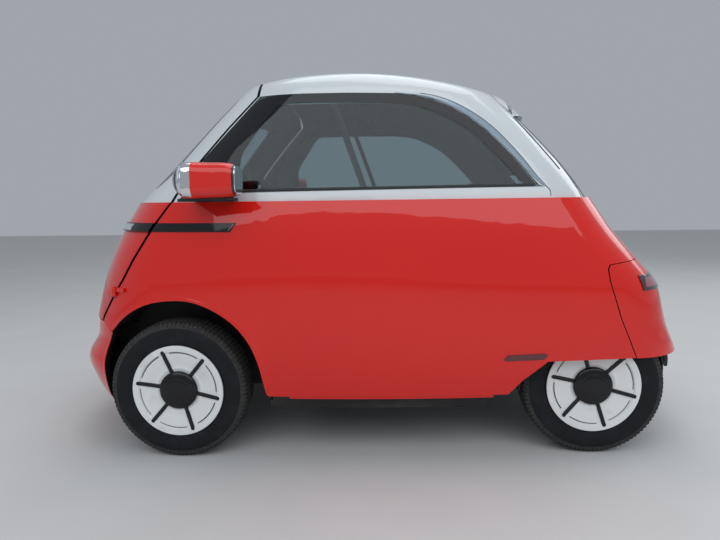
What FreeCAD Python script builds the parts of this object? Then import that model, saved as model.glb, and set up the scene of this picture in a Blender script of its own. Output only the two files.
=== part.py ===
# Microcar: a bubble-shaped electric two-seater whose whole front is one side-hinged door.
# Millimetres. Front towards -X, the car's left side towards -Y, +Z up.
# The origin is on the ground, under the middle of the car.
import FreeCAD, Part
import Sketcher
import math
import os
from FreeCAD import Vector

doc = FreeCAD.newDocument("Microcar")

# Driving sizes: name, number, what it measures
SIZES = (
    ("overall_length", 2497, "bumper to bumper"),
    ("body_width", 1473, "widest place of the body, without the lamp pods"),
    ("overall_height", 1501, "ground to roof"),
    ("skin", 30, "depth of the double-skinned body walls"),
    ("belt_height", 978, "ground to the line where red meets white"),
    ("shoulder", 11, "step from the red shoulder in to the white glasshouse"),
    ("windscreen_rake", 1.4, "level depth for each unit of wall on the sloping nose and tail"),
    ("widest_x", -212.5, "place of the widest section"),
    ("roof_crown_x", -81.5, "place of the roof's highest point"),
    ("roof_long_radius", 1791, "roof arch seen from the side"),
    ("roof_cross_radius", 2581, "roof arch seen from the front"),
    ("roof_edge_radius", 90, "rounding where roof meets sides"),
    ("shut_gap", 10, "gap round the front door"),
    ("panel_gap", 5, "gap between fixed panels and round the tailgate"),
    ("seat_clearance", 0.3, "clearance of pieces that seat on a curved wall"),
    ("glass", 5, "pane thickness"),
    ("glass_border", 40, "width of the black border that is glued to the frame"),
    ("sill_border", 10, "width of that border along the side windows' lower edge"),
    ("door_foot", 522, "ground to the lower edge of the front door"),
    ("bumper_top", 512, "ground to the top of the front bumper"),
    ("bumper_foot", 190, "ground to the lower edge of the front bumper"),
    ("sill_height", 256, "ground to the lower edge of the side panel"),
    ("skirt_height", 385, "ground to the lower edge of the rear skirt"),
    ("fascia_top", 746, "ground to the top of the rear fascia"),
    ("hinge_x", -974, "front door hinge axis"),
    ("hinge_y", -612, "front door hinge axis"),
    ("hinge_pin", 5, "radius of the hinge pins"),
    ("tail_hinge_z", 1380, "tailgate hinge axis, over the front edge of the spoiler"),
    ("strip_low", 870, "lower edge of the black lamp strip"),
    ("strip_high", 902, "upper edge of the black lamp strip"),
    ("strip_proud", 9, "how far the lamp strip stands out of the nose"),
    ("strip_depth", 8, "depth of the strip's seat in the wall"),
    ("rear_lamp_low", 635, "lower edge of the rear lamp band"),
    ("rear_lamp_high", 690, "upper edge of the rear lamp band"),
    ("wheelbase", 1575, "front axle to rear axle"),
    ("front_axle", 722.5, "front axle ahead of the origin"),
    ("front_track", 1186, "between the middles of the front tyres"),
    ("rear_track", 1016, "between the middles of the rear tyres"),
    ("tyre_radius", 266, "tyre under load"),
    ("tyre_width", 145, "tyre section"),
    ("rim_radius", 165, "bead seat"),
    ("cover_radius", 176, "white wheel cover"),
    ("cap_radius", 73, "black hub cap"),
    ("bar_reach", 163, "length of the cover's six black bars from the middle"),
    ("bar_width", 15, "width of those bars"),
    ("bar_depth", 8, "how far those bars stand out of the cover"),
    ("stub_radius", 18, "stub axles"),
    ("kingpin_track", 1080, "between the two kingpins"),
    ("kingpin_radius", 8, "kingpins"),
    ("running_gap", 0.5, "radial clearance of pins in their bores"),
    ("knuckle_radius", 20, "upright of a knuckle"),
    ("knuckle_height", 200, "upright of a knuckle"),
    ("floor_height", 200, "ground to the underside of the floor"),
    ("floor_plate", 30, "thickness of the floor"),
    ("pad_radius", 40, "jack pads under the floor"),
    ("pad_depth", 10, "jack pads under the floor"),
    ("battery_depth", 110, "battery block over the floor"),
    ("bench_width", 1040, "seat bench"),
    ("bench_top", 545, "ground to the top of the cushion"),
    ("cushion_depth", 110, "thickness of the seat cushion"),
    ("back_top", 1042, "ground to the top of the seat back"),
    ("back_depth", 85, "thickness of the seat back"),
    ("wheel_rim_radius", 170, "steering wheel"),
    ("wheel_rim_tube", 13, "radius of the steering wheel's rim section"),
    ("column_radius", 22, "steering column"),
    ("driver_y", -285, "steering wheel's middle"),
    ("pod_y", 800, "lamp and mirror pods' middles from the car's middle"),
    ("pod_width", 128, "pod across the car"),
    ("pod_height", 120, "pod"),
)

sheet = doc.addObject("Spreadsheet::Sheet", "Sizes")
for row, (name, number, note) in enumerate(SIZES, start=1):
    sheet.set(f"A{row}", name)
    sheet.set(f"B{row}", str(number))
    sheet.set(f"C{row}", note)
    sheet.setAlias(f"B{row}", name)
doc.recompute()


def size(name):
    return float(sheet.get(name))


half_length = size("overall_length") / 2
half_width = size("body_width") / 2
belt = size("belt_height")
skin = size("skin")
gap = size("shut_gap")
seam = size("panel_gap")
seat = size("seat_clearance")
front_x = -size("front_axle")
rear_x = front_x + size("wheelbase")
hub_z = size("tyre_radius")
FAR = 2000.0

# Turn of the outline, in degrees, taken by its gentle arcs: nose, front flank, rear flank, tail
TURNS = (14, 12, 11, 10)


def outline(height, nose, tail, half, front_corner, rear_corner):
    """Level section of the body: six tangent arcs on each side, from the nose round to the tail."""
    sin, cos = math.sin, math.cos
    nose_turn, front_turn, rear_turn, tail_turn = (math.radians(turn) for turn in TURNS)
    widest = size("widest_x")

    def gentle_pair(first, second, across, along, corner):
        """Radii of the two gentle arcs on either side of a corner arc."""
        a, b = sin(first), 1 - cos(second)
        c, d = 1 - cos(first), sin(second)
        e = across - corner * (cos(second) - sin(first))
        f = along - corner * (cos(first) - sin(second))
        det = a * d - b * c
        return (e * d - b * f) / det, (a * f - e * c) / det

    nose_radius, front_radius = gentle_pair(nose_turn, front_turn, half, widest - nose, front_corner)
    tail_radius, rear_radius = gentle_pair(tail_turn, rear_turn, half, tail - widest, rear_corner)
    quarter = math.pi / 2
    headings = (0, nose_turn, quarter - front_turn, quarter, quarter + rear_turn, math.pi - tail_turn, math.pi)
    radii = (nose_radius, front_corner, front_radius, rear_radius, rear_corner, tail_radius)
    arcs = []
    x, y = nose, 0.0
    for radius, start, end in zip(radii, headings, headings[1:]):
        points = []
        for heading in (start, (start + end) / 2, end):
            points.append((x + radius * (cos(start) - cos(heading)), y + radius * (sin(heading) - sin(start))))
        arcs.append(points)
        x, y = points[-1]

    def arc(points, side):
        return Part.Arc(*[Vector(px, side * py, height) for px, py in points]).toShape()

    nose_end = arcs[0][2]
    tail_start = arcs[5][0]
    edges = [arc([(nose_end[0], -nose_end[1]), (nose, 0.0), nose_end], 1)]
    edges += [arc(points, 1) for points in arcs[1:5]]
    edges.append(arc([tail_start, (tail, 0.0), (tail_start[0], -tail_start[1])], 1))
    edges += [arc(points[::-1], -1) for points in arcs[4:0:-1]]
    return Part.Wire(edges)


def refined(sections, steps=3):
    """The same sections with more between them, on smooth curves that never overshoot their ends."""
    columns = list(zip(*sections))
    heights = columns[0]
    count = len(heights)
    slopes = []
    for column in columns:
        rises = [(column[i + 1] - column[i]) / (heights[i + 1] - heights[i]) for i in range(count - 1)]
        inner = [2 * a * b / (a + b) if a * b > 0 else 0.0 for a, b in zip(rises, rises[1:])]
        slopes.append([rises[0]] + inner + [rises[-1]])
    rows = [sections[0]]
    for i in range(count - 1):
        span = heights[i + 1] - heights[i]
        for step in range(1, steps + 1):
            t = step / steps
            row = []
            for column, slope in zip(columns, slopes):
                start = (1 + 2 * t) * (1 - t) ** 2 * column[i] + t * (1 - t) ** 2 * span * slope[i]
                end = t * t * (3 - 2 * t) * column[i + 1] + t * t * (t - 1) * span * slope[i + 1]
                row.append(start + end)
            rows.append(tuple(row))
    return rows


# Sections of the lower body: height, nose behind the front end, tail ahead of the rear end,
# flank in from the widest place, front corner radius, rear corner radius
LOWER_SECTIONS = refined((
    (170, 16, -14, 64.5, 370, 230),
    (320, 16, -16, 24.5, 380, 240),
    (size("skirt_height"), 22, 0, 13, 380, 240),
    (480, 42, 41, 3.5, 380, 240),
    (640, 85, 89, 0.5, 390, 235),
    (740, 122, 169, 3.5, 390, 230),
    (850, 173, 265, 11.5, 400, 230),
    (belt, 251, 353, 32.5, 400, 230),
))
# Sections of the glasshouse, in the same columns
UPPER_SECTIONS = (
    (belt, 260, 367, 32.5 + size("shoulder"), 370, 230),
    (1120, 410, 469, 72.5, 360, 230),
    (1300, 585, 638, 125.5, 340, 230),
    (1540, 869, 896, 201.5, 320, 220),
)
# Sections of the front bumper, in the same columns
BUMPER_SECTIONS = refined((
    (150, 90, 400, 45, 360, 230),
    (250, 36, 400, 14, 370, 230),
    (350, 0, 400, 10, 370, 230),
    (450, 50, 400, 12, 370, 230),
    (size("bumper_top"), 55, 400, 6, 380, 230),
))


def lofted(sections, inset, rake=1.0):
    """Solid through the level sections, each drawn in by the inset."""
    wires = []
    for height, nose, tail, narrow, front_corner, rear_corner in sections:
        wires.append(outline(height, nose - half_length + inset * rake, half_length - tail - inset * rake,
                             half_width - narrow - inset, front_corner - inset, rear_corner - inset))
    return Part.makeLoft(wires, True, False)


def crown(inset):
    """Everything under the roof: an arch across the car, swung round a level axis below it."""
    long_radius = size("roof_long_radius") - inset
    cross_radius = size("roof_cross_radius") - inset
    top = size("overall_height") - inset
    middle = size("roof_crown_x")
    reach = 900
    axis_z = top - long_radius
    edge_z = top - (cross_radius - math.sqrt(cross_radius ** 2 - reach ** 2))
    low_z = axis_z + 80
    left, peak, right = Vector(middle, -reach, edge_z), Vector(middle, 0, top), Vector(middle, reach, edge_z)
    low_right, low_left = Vector(middle, reach, low_z), Vector(middle, -reach, low_z)
    arch = Part.Arc(left, peak, right).toShape()
    rest = [Part.makeLine(a, b) for a, b in ((right, low_right), (low_right, low_left), (low_left, left))]
    face = Part.Face(Part.Wire([arch] + rest))
    centre = Vector(middle, 0, axis_z)
    face.rotate(centre, Vector(0, 1, 0), -60)
    return face.revolve(centre, Vector(0, 1, 0), 120)


def glasshouse(inset):
    """Upper body, drawn in by the inset, with its roof edge rounded."""
    block = lofted(UPPER_SECTIONS, inset, size("windscreen_rake"))
    block = block.common(crown(inset)).Solids[0]
    roof = max(block.Faces, key=lambda face: face.CenterOfMass.z)
    return block.makeFillet(size("roof_edge_radius") - inset, roof.Edges)


def side_prism(points, low=-FAR, high=FAR):
    """Prism across the car whose outline is drawn in side view."""
    corners = [Vector(x, low, z) for x, z in points]
    face = Part.Face(Part.makePolygon(corners + corners[:1]))
    return face.extrude(Vector(0, high - low, 0))


def front_prism(points, low, high):
    """Prism along the car whose outline is drawn in front view."""
    corners = [Vector(low, y, z) for y, z in points]
    face = Part.Face(Part.makePolygon(corners + corners[:1]))
    return face.extrude(Vector(high - low, 0, 0))


def block(x0, x1, y0, y1, z0, z1):
    return Part.makeBox(x1 - x0, y1 - y0, z1 - z0, Vector(x0, y0, z0))


def across(wire, low, high):
    face = Part.Face(wire)
    face.translate(Vector(0, low, 0))
    return face.extrude(Vector(0, high - low, 0))


def mirrored(shape):
    return shape.mirror(Vector(0, 0, 0), Vector(0, 1, 0))


pieces = []


def keep(label, shape):
    """Adds a finished shape to the document under its own label."""
    solids = shape.Solids
    whole = solids[0] if len(solids) == 1 else Part.makeCompound(solids)
    piece = doc.addObject("Part::Feature", label)
    piece.Label = label
    piece.Shape = whole
    pieces.append(piece)
    return piece


lower_outer = lofted(LOWER_SECTIONS, 0)
lower_wall = lower_outer.cut(lofted(LOWER_SECTIONS, skin))
lower_inside = lofted(LOWER_SECTIONS, skin + seat)
upper_outer = glasshouse(0)
upper_wall = upper_outer.cut(glasshouse(skin))
pane_depth = size("glass")
upper_pane = upper_outer.cut(glasshouse(pane_depth))
upper_rebate = upper_outer.cut(glasshouse(pane_depth + seat))

# Side view of the front door's rear edge, from its foot up to the roof
SHUT_LINE = ((-1044, 515), (-1038, 532), (-958, 646), (-926, 686), (-876, 764), (-780, 900), (-717, 976),
             (-700, 1006), (-610, 1134), (-510, 1250), (-398, 1369), (-397, 1427))
ahead = [(-FAR, 400), (SHUT_LINE[0][0], 400)] + list(SHUT_LINE) + [(SHUT_LINE[-1][0], FAR), (-FAR, FAR)]
front_zone = side_prism(ahead)
# The door stops one shut gap ahead of the body's edge, measured square to the slanting line
slant = math.radians(50)
door_zone = front_zone.copy()
door_zone.translate(Vector(-gap / math.sin(slant), 0, 0))

# Tailgate opening, drawn from behind: half width and height
tail_half_top, tail_half_belt, tail_half_low = 445, 520, 430
TAILGATE = ((-tail_half_low, size("fascia_top") + seam), (tail_half_low, size("fascia_top") + seam),
            (tail_half_low, belt), (tail_half_belt, belt), (tail_half_top, 1296), (tail_half_top, FAR),
            (-tail_half_top, FAR), (-tail_half_top, 1296), (-tail_half_belt, belt), (-tail_half_low, belt))
tailgate_front = 551
tail_opening = front_prism(TAILGATE, tailgate_front, FAR)
inset_tail = [(y - math.copysign(seam, y), z) for y, z in TAILGATE]
tail_zone = front_prism(inset_tail, tailgate_front + seam, FAR)

# Groove that the front door's hinge knuckles turn in, one above and one below the hinge's middle
hinge = Vector(size("hinge_x"), size("hinge_y"), 640)
hinge_round = size("hinge_pin") + 4
knuckle_tall, groove_end = 18, 6
groove_foot = hinge - Vector(0, 0, knuckle_tall + groove_end)
door_groove = Part.makeCylinder(hinge_round + 2, 2 * (knuckle_tall + groove_end), groove_foot)

# Side panels with the front fenders
FRONT_ARCH = ((-1049, 100), (-1037, 195), (-1033, 339), (-1023, 407), (-990, 486), (-924, 550), (-831, 602),
              (-714, 620), (-620, 613), (-503, 556), (-431, 477), (-397, 391), (-376, 266), (-369, 100))
FASCIA_EDGE = ((992, 386), (924, 540), (879, 673), (871, 719), (878, 735), (931, 741), (1005, 746), (FAR, 748))
sill = size("sill_height")
skirt = size("skirt_height")
SIDE = ([(-1044, 515), (-1015, 493), (-989, 485)] + list(FRONT_ARCH[5:13])
        + [(-370, sill), (520, sill + 2), (573, 316), (649, 376), (659, skirt), (992, skirt)]
        + list(FASCIA_EDGE) + [(FAR, belt), (-717, belt)] + list(SHUT_LINE[5:0:-1]))
# Room that the rear wheels need in the walls beside them
# each step is its radius beyond the tyre's tread and its reach beyond the tyre's side
WHEEL_ROOM = ((6, -6), (-4, -0.5), (-16, 6.5), (-76, 16))
wheel_steps = []
for beyond_tread, beyond_side in WHEEL_ROOM:
    half_room = size("rear_track") / 2 + size("tyre_width") / 2 + beyond_side
    wheel_steps.append(Part.makeCylinder(hub_z + beyond_tread, 2 * half_room,
                                         Vector(rear_x, -half_room, hub_z), Vector(0, 1, 0)))
wheel_room = wheel_steps[0].fuse(wheel_steps[1:])
side_ring = lower_wall.common(side_prism(SIDE)).cut(tail_opening).cut(wheel_room)
strip_seat = lower_outer.cut(lofted(LOWER_SECTIONS, size("strip_depth")))
strip_low, strip_high = size("strip_low"), size("strip_high")
SIDE_STRIP = ((-889, strip_low), (-485, strip_low), (-463, strip_high), (-889, strip_high))
strip_slot = strip_seat.common(side_prism(SIDE_STRIP))
side_ring = side_ring.cut([strip_slot, door_groove])
for side, low in (("left", -FAR), ("right", 0)):
    keep(f"side_panel_{side}", side_ring.common(block(-FAR, FAR, low, low + FAR, 0, FAR)))

# Roof with the rear pillars
WINDOW = ((-700, 1007), (-610, 1134), (-396, 1367), (-57, 1367), (106, 1364), (184, 1355), (243, 1342),
          (308, 1315), (373, 1278), (437, 1228), (487, 1179), (544, 1119), (594, 1061), (626, 1025), (645, 1018))
window_outer = Part.makePolygon([Vector(x, 0, z) for x, z in WINDOW + WINDOW[:1]])
window_inner = window_outer.makeOffset2D(-size("glass_border"))
window_lowered = window_inner.copy()
window_lowered.translate(Vector(0, 0, size("sill_border") - size("glass_border")))
window_hole = across(window_inner, -FAR, FAR).fuse(across(window_lowered, -FAR, FAR))
roof = upper_wall.cut(front_zone).cut(tail_opening)
roof = roof.cut(upper_rebate.common(across(window_outer, -FAR, FAR)))
roof = roof.cut(window_hole)
keep("roof_shell", roof)
panes = upper_pane.common(across(window_outer.makeOffset2D(-1.5), -FAR, FAR)).cut(front_zone)
keep("side_windows", Part.makeCompound([solid for solid in panes.Solids if abs(solid.CenterOfMass.y) > 300]))

# Black upright bars behind the side windows, end to end in the window opening
BAR_TOP_X, BAR_FOOT_X, bar_across = -130, -8, 24
WINDOW_BAR = ((BAR_FOOT_X, 1000), (BAR_FOOT_X + bar_across, 1000), (BAR_TOP_X + bar_across, 1340), (BAR_TOP_X, 1340))
bar_skin = glasshouse(pane_depth + 2 * seat).cut(glasshouse(pane_depth + 13))
window_bars = bar_skin.common(side_prism(WINDOW_BAR)).common(window_hole)
keep("window_bars", window_bars)

# Front door: red panel, white frame, windscreen
door_wall = lower_wall.common(door_zone).common(block(-FAR, 0, -FAR, FAR, size("door_foot"), belt))
nose_strip = block(-FAR, -600, -FAR, FAR, strip_low, strip_high)
keep("door_panel", door_wall.cut([strip_seat.common(nose_strip), door_groove]))
strip_outer = lofted(LOWER_SECTIONS, -size("strip_proud"))
strip_inner = lofted(LOWER_SECTIONS, size("strip_depth") - seat)
strip_band = strip_outer.cut(strip_inner)
lamp_strip = strip_band.common(door_zone).common(block(-FAR, -600, -FAR, FAR, strip_low + seat, strip_high - seat))
keep("lamp_strip", lamp_strip)
body_strip = lofted(LOWER_SECTIONS, -3).cut(strip_inner).common(side_prism(SIDE_STRIP).cut(front_zone))
body_strip = body_strip.common(block(-FAR, FAR, -FAR, FAR, strip_low + seat, strip_high - seat))
keep("side_strips", body_strip)

SCREEN = ((-520, 1030), (520, 1030), (430, 1385), (-430, 1385))
screen_outer = Part.makePolygon([Vector(0, y, z) for y, z in SCREEN + SCREEN[:1]])
screen_outer = screen_outer.makeOffset2D(-50).makeOffset2D(50)
screen_inner = screen_outer.makeOffset2D(-size("glass_border"))


def along(wire, low, high):
    face = Part.Face(wire)
    face.translate(Vector(low, 0, 0))
    return face.extrude(Vector(high - low, 0, 0))


frame = upper_wall.common(door_zone)
frame = frame.cut(upper_rebate.common(along(screen_outer, -FAR, 0)))
frame = frame.cut(along(screen_inner, -FAR, 0))
keep("door_frame", frame)
keep("windscreen", upper_pane.common(along(screen_outer.makeOffset2D(-1.5), -FAR, 0)).common(door_zone))
bar_room = lofted(LOWER_SECTIONS, skin + seat).cut(lofted(LOWER_SECTIONS, skin + 90))
keep("door_bar", bar_room.common(block(-FAR, -800, -430, 430, 800, 905)))

# Tailgate: red panel, black rear window, white spoiler
tail_panel = lower_wall.common(tail_zone)
keep("tailgate_panel", tail_panel)
spoiler_outer = glasshouse(-15)
spoiler_top = spoiler_outer.common(tail_zone).common(block(tailgate_front, FAR, -FAR, FAR, 1290, FAR))
spoiler = spoiler_top.cut(glasshouse(skin)).common(block(tailgate_front, 651, -FAR, FAR, 0, FAR))
keep("spoiler", spoiler)
rear_glass = upper_outer.cut(glasshouse(skin)).common(tail_zone).cut(spoiler_top)
keep("rear_window", rear_glass)

# Rear fascia and lamp band
fascia_points = [(x + (seam if x < 1500 else 0), z - seam / 2) for x, z in FASCIA_EDGE]
fascia_zone = side_prism(fascia_points + [(FAR, skirt)])
lamp_low, lamp_high = size("rear_lamp_low"), size("rear_lamp_high")
LAMP = ((1016, lamp_low), (FAR, lamp_low), (FAR, lamp_high), (996, lamp_high))
lamp_seat = lower_outer.cut(lofted(LOWER_SECTIONS, 15))
fascia = lower_wall.common(fascia_zone).cut(lamp_seat.common(side_prism(LAMP))).cut(wheel_room)
keep("rear_fascia", fascia)
lamp_band = lofted(LOWER_SECTIONS, -4).cut(lofted(LOWER_SECTIONS, 15 - seat))
lamp_points = [(x + seat if x < 1500 else x, z + (seat if z == lamp_low else -seat)) for x, z in LAMP]
keep("rear_lamps", lamp_band.common(side_prism(lamp_points)))

# Trims on the body: rear side reflectors, rocker strips and the black rear valance
REFLECTOR = ((495, 397), (511, 414), (646, 417), (658, 411), (644, 394), (504, 392))
reflector_skin = lofted(LOWER_SECTIONS, -3).cut(lofted(LOWER_SECTIONS, -seat))
reflectors = reflector_skin.common(side_prism(REFLECTOR))
keep("side_reflectors", reflectors)
rocker_skin = lofted(LOWER_SECTIONS, 4).cut(lofted(LOWER_SECTIONS, 18))
rockers = rocker_skin.common(block(-290, 466, -FAR, FAR, sill - 10, sill))
keep("rocker_strips", rockers)
valance = lofted(LOWER_SECTIONS, skin + seat).cut(lofted(LOWER_SECTIONS, skin + 12))
keep("rear_valance", valance.common(block(1000, FAR, -420, 420, 300, 430)))

# Front bumper
BUMPER = ((-FAR, size("bumper_foot")), (-1037, size("bumper_foot")), (-1033, 339), (-1023, 407), (-994, 478),
          (-1017, 488), (-1049, size("bumper_top")), (-FAR, size("bumper_top")))
bumper_wall = lofted(BUMPER_SECTIONS, 0).cut(lofted(BUMPER_SECTIONS, skin))
keep("front_bumper", bumper_wall.common(side_prism(BUMPER)))

# Floor tub
floor_low = size("floor_height")
floor_top = floor_low + size("floor_plate")
foot_half = 365
wall_end = -387
bulkhead = 441
tub = block(-369, bulkhead, -FAR, FAR, floor_low, floor_top)
tub = tub.fuse([block(-1085, -369, -foot_half, foot_half, floor_low, floor_top),
                block(-1085, -1060, -foot_half, foot_half, floor_top, 470),
                block(-1085, wall_end, -foot_half, -foot_half + 20, floor_top, 470),
                block(-1085, wall_end, foot_half - 20, foot_half, floor_top, 470),
                block(-359, bulkhead, -FAR, -610, floor_top, 330),
                block(-359, bulkhead, 610, FAR, floor_top, 330),
                block(bulkhead - 30, bulkhead, -FAR, FAR, floor_top, 580),
                block(bulkhead, 1131, -FAR, FAR, 555, 580)])
tub = tub.common(lower_inside)
bumper_room = lofted(BUMPER_SECTIONS, skin + seat)
horns = [block(-FAR, -1080, low, low + 60, 300, 360).common(bumper_room) for low in (-290, 230)]
tub = tub.cut(block(-FAR, -1085, -FAR, FAR, 0, FAR)).fuse(horns).removeSplitter()
keep("floor_tub", tub)

# Round pads under the floor where a jack or a stand takes the car
pads = [Part.makeCylinder(size("pad_radius"), size("pad_depth") - seat, Vector(x, y, floor_low - size("pad_depth")))
        for x in (-250, 350) for y in (-560, 560)]
keep("jack_pads", Part.makeCompound(pads))

# Arch liners
front_arch = list(FRONT_ARCH)
arch_wire = Part.makePolygon([Vector(x, 0, z) for x, z in front_arch + front_arch[:1]])
liner_out, liner_in = arch_wire.makeOffset2D(9), arch_wire.makeOffset2D(5)
liner = across(liner_out, foot_half + 1, FAR).cut(across(liner_in, foot_half + 5, FAR))
liner = liner.cut(block(front_x - 110, front_x + 110, 0, 400, 0, 420))
liner = liner.common(lower_inside).common(block(-989, FAR, 0, FAR, 235, FAR))
keep("front_arch_liners", Part.makeCompound(liner.Solids + mirrored(liner).Solids))
ring = Part.makeCylinder(289, 400, Vector(rear_x, 425, hub_z), Vector(0, 1, 0))
ring = ring.cut(Part.makeCylinder(285, 400, Vector(rear_x, 429, hub_z), Vector(0, 1, 0)))
ring = ring.cut(block(rear_x - 400, rear_x + 90, 400, 440, 0, 360))
ring = ring.common(lower_inside).common(block(-FAR, FAR, 0, FAR, 262, 554))
keep("rear_arch_liners", Part.makeCompound(ring.Solids + mirrored(ring).Solids))

# Parts below are bound to the sheet by expressions
FRONT = "-Sizes.front_axle"
REAR = "(Sizes.wheelbase - Sizes.front_axle)"


def bind(piece, sizes, place, turn=None):
    """Binds a primitive's sizes and place to cells; turn is an axis letter and degrees."""
    for name, text in sizes.items():
        piece.setExpression(name, text)
    if turn:
        letter, degrees = turn
        piece.Placement.Rotation = FreeCAD.Rotation(Vector(letter == "x", letter == "y", letter == "z"), degrees)
    for axis, text in zip("xyz", place):
        piece.setExpression("Placement.Base." + axis, text)
    return piece


def cylinder(name, radius, height, place, turn=None):
    piece = doc.addObject("Part::Cylinder", name)
    return bind(piece, {"Radius": radius, "Height": height}, place, turn)


def box(name, sizes, place, turn=None):
    piece = doc.addObject("Part::Box", name)
    return bind(piece, dict(zip(("Length", "Width", "Height"), sizes)), place, turn)


def joined(label, shapes):
    piece = doc.addObject("Part::MultiFuse", label)
    piece.Shapes = shapes
    piece.Refine = True
    return piece


def cut(label, base, tool):
    piece = doc.addObject("Part::Cut", label)
    piece.Base = base
    piece.Tool = tool
    piece.Refine = True
    return piece


def finished(label, piece):
    piece.Label = label
    pieces.append(piece)
    return piece


def turned(label, profile, x, y, flip):
    """Wheel piece: a profile of (radius, offset outwards), both expressions, turned about the axle."""
    body = doc.addObject("PartDesign::Body", label)
    sketch = body.newObject("Sketcher::SketchObject", label + "_profile")
    plane = [feature for feature in body.Origin.OriginFeatures if feature.Role == "XY_Plane"][0]
    sketch.AttachmentSupport = (plane, [""])
    sketch.MapMode = "FlatFace"
    rough = [(number_of(radius), number_of(offset)) for radius, offset in profile]
    count = len(profile)
    for number in range(count):
        start, end = rough[number], rough[(number + 1) % count]
        sketch.addGeometry(Part.LineSegment(Vector(*start, 0), Vector(*end, 0)), False)
    for number in range(count):
        sketch.addConstraint(Sketcher.Constraint("Coincident", number, 2, (number + 1) % count, 1))
    for number, (radius, offset) in enumerate(profile):
        for kind, value, text in (("DistanceX", rough[number][0], radius), ("DistanceY", rough[number][1], offset)):
            index = sketch.addConstraint(Sketcher.Constraint(kind, -1, 1, number, 1, value))
            sketch.setExpression(f"Constraints[{index}]", text)
    spin = body.newObject("PartDesign::Revolution", label + "_turn")
    spin.Profile = sketch
    spin.ReferenceAxis = (sketch, ["V_Axis"])
    spin.Angle = 360
    body.Tip = spin
    body.Placement.Rotation = FreeCAD.Rotation(Vector(0, 0, 1), 180 if flip else 0)
    for axis, text in zip("xyz", (x, y, "Sizes.tyre_radius")):
        body.setExpression("Placement.Base." + axis, text)
    return body


def number_of(text):
    """Number that an expression of the sheet has now."""
    return float(sheet.evalExpression(text))


BEAD = "Sizes.tyre_width / 2 - 12"
TYRE = (("Sizes.rim_radius", BEAD),
        ("Sizes.rim_radius + 10", BEAD),
        ("Sizes.rim_radius + 30", "Sizes.tyre_width / 2 - 3"),
        ("Sizes.rim_radius + 50", "Sizes.tyre_width / 2"),
        ("Sizes.tyre_radius - 30", "Sizes.tyre_width / 2 - 1"),
        ("Sizes.tyre_radius - 14", "Sizes.tyre_width / 2 - 4"),
        ("Sizes.tyre_radius - 4", "Sizes.tyre_width / 2 - 11"),
        ("Sizes.tyre_radius", "Sizes.tyre_width / 2 - 22"))
TYRE = TYRE + tuple((radius, f"-({offset})") for radius, offset in reversed(TYRE))
HUB = "Sizes.stub_radius + Sizes.running_gap"
RIM = ((HUB, "-10"), (HUB, "48"), ("70", "48"), ("120", "44"), ("Sizes.rim_radius - 12", "34"),
         ("Sizes.rim_radius - 8", BEAD + " + 7.5"), ("Sizes.rim_radius + 8", BEAD + " + 7.5"),
         ("Sizes.rim_radius + 8", BEAD + " + 0.3"), ("Sizes.rim_radius - 0.3", BEAD + " + 0.3"),
         ("Sizes.rim_radius - 0.3", f"-({BEAD} + 0.3)"), ("Sizes.rim_radius + 8", f"-({BEAD} + 0.3)"),
         ("Sizes.rim_radius + 8", f"-({BEAD} + 7.5)"), ("Sizes.rim_radius - 6", f"-({BEAD} + 7.5)"),
         ("Sizes.rim_radius - 8", "24"), ("120", "34"), ("Sizes.stub_radius + 30", "38"), ("Sizes.stub_radius + 30", "-10"))
COVER = (("0", "Sizes.tyre_width / 2 - 19"), ("Sizes.cap_radius", "Sizes.tyre_width / 2 - 19"),
         ("Sizes.rim_radius - 15", BEAD + " + 7.8"), ("Sizes.rim_radius + 9", BEAD + " + 7.8"),
         ("Sizes.cover_radius", "Sizes.tyre_width / 2 + 1"), ("Sizes.cover_radius - 3", "Sizes.tyre_width / 2 + 4"),
         ("Sizes.bar_reach - 8", "Sizes.tyre_width / 2"), ("Sizes.cap_radius", "Sizes.tyre_width / 2 - 14"),
         ("0", "Sizes.tyre_width / 2 - 14"))
CORNERS = []
for end, axle, track, steered in (("front", FRONT, "Sizes.front_track", True), ("rear", REAR, "Sizes.rear_track", False)):
    for side, sign in (("left", "-"), ("right", "")):
        CORNERS.append((f"{end}_{side}", axle, f"{sign}{track} / 2", side == "left", steered))

for name, x, y, left, steered in CORNERS:
    for kind, profile in (("tyre", TYRE), ("rim", RIM), ("cover", COVER)):
        pieces.append(turned(f"{kind}_{name}", profile, x, y, left))

# Black hub caps: a dome with six bars that lie on the cover, as a table of first bar angles
BAR_ANGLES = {"front": 50, "rear": 46}
cap_seat = size("tyre_width") / 2 - 14 + seat
cap_radius, bar_reach, bar_width = size("cap_radius"), size("bar_reach"), size("bar_width")
bar_rise = size("tyre_width") / 2 + 0.4
DOME = ((0, cap_seat), (cap_radius, cap_seat), (cap_radius, cap_seat + 9), (cap_radius - 7, cap_seat + 15),
        (cap_radius - 24, cap_seat + 19), (cap_radius - 48, cap_seat + 22), (0, cap_seat + 23))
dome_corners = [Vector(radius, offset, 0) for radius, offset in DOME]
dome = Part.Face(Part.makePolygon(dome_corners + dome_corners[:1])).revolve(Vector(0, 0, 0), Vector(0, 1, 0), 360)
bar_end = bar_rise + 1.6
BAR = ((cap_radius - 30, cap_seat), (cap_radius, cap_seat), (bar_reach - 8, bar_rise), (bar_reach, bar_end),
       (bar_reach, bar_end + size("bar_depth") - 2), (bar_reach - 8, bar_rise + size("bar_depth")),
       (cap_radius - 30, cap_seat + size("bar_depth")))
bar_corners = [Vector(radius, offset, -bar_width / 2) for radius, offset in BAR]
bar = Part.Face(Part.makePolygon(bar_corners + bar_corners[:1])).extrude(Vector(0, 0, bar_width))
bar_outline = Part.makeBox(bar_reach - bar_width / 2, 200, bar_width, Vector(0, 0, -bar_width / 2))
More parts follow.
